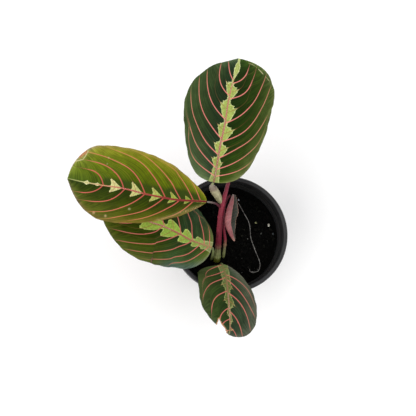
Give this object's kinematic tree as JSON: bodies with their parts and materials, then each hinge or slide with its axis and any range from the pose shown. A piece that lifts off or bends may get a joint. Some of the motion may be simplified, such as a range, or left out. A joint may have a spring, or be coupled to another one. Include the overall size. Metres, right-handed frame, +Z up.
{
  "type": "potted prayer plant",
  "caption": "Young maranta prayer plant with oval, red-veined patterned leaves on wine-red stems, rooted in potting mix in a round black nursery pot.",
  "frame": {"origin": "middle of the pot's flat base, on the surface it stands on", "axes": "+Z up along the pot's axis; +Y towards the top leaf, away from the front leaf; -X towards the two left leaves"},
  "size_m": [0.1952, 0.2368, 0.161],
  "materials": {
    "pot_plastic": "satin moulded black plastic",
    "potting_mix": "damp crumbly peat mix",
    "stem": "wine red, pale green at the foot",
    "petiole": "pale green with fine stripes",
    "leaf_green": "satin, dark green with red veins and lime lobes",
    "leaf_underside": "satin wine red",
    "dry_fibre": "dull dry grey",
    "perlite": "matt white grain"
  },
  "bodies": {
    "root": {"pot": "pot_plastic", "soil": "potting_mix", "main_stem": "stem", "second_stem": "stem", "petiole_top": "petiole", "petiole_left_upper": "petiole", "petiole_left_lower": "petiole", "petiole_front": "petiole", "leaf_top": "leaf_green", "leaf_left_upper": "leaf_green", "leaf_left_lower": "leaf_green", "leaf_front": "leaf_green", "leaf_young": "leaf_underside", "dry_fibre": "dry_fibre", "perlite_1": "perlite", "perlite_2": "perlite", "perlite_3": "perlite", "perlite_4": "perlite", "perlite_5": "perlite"}
  },
  "joints": []
}
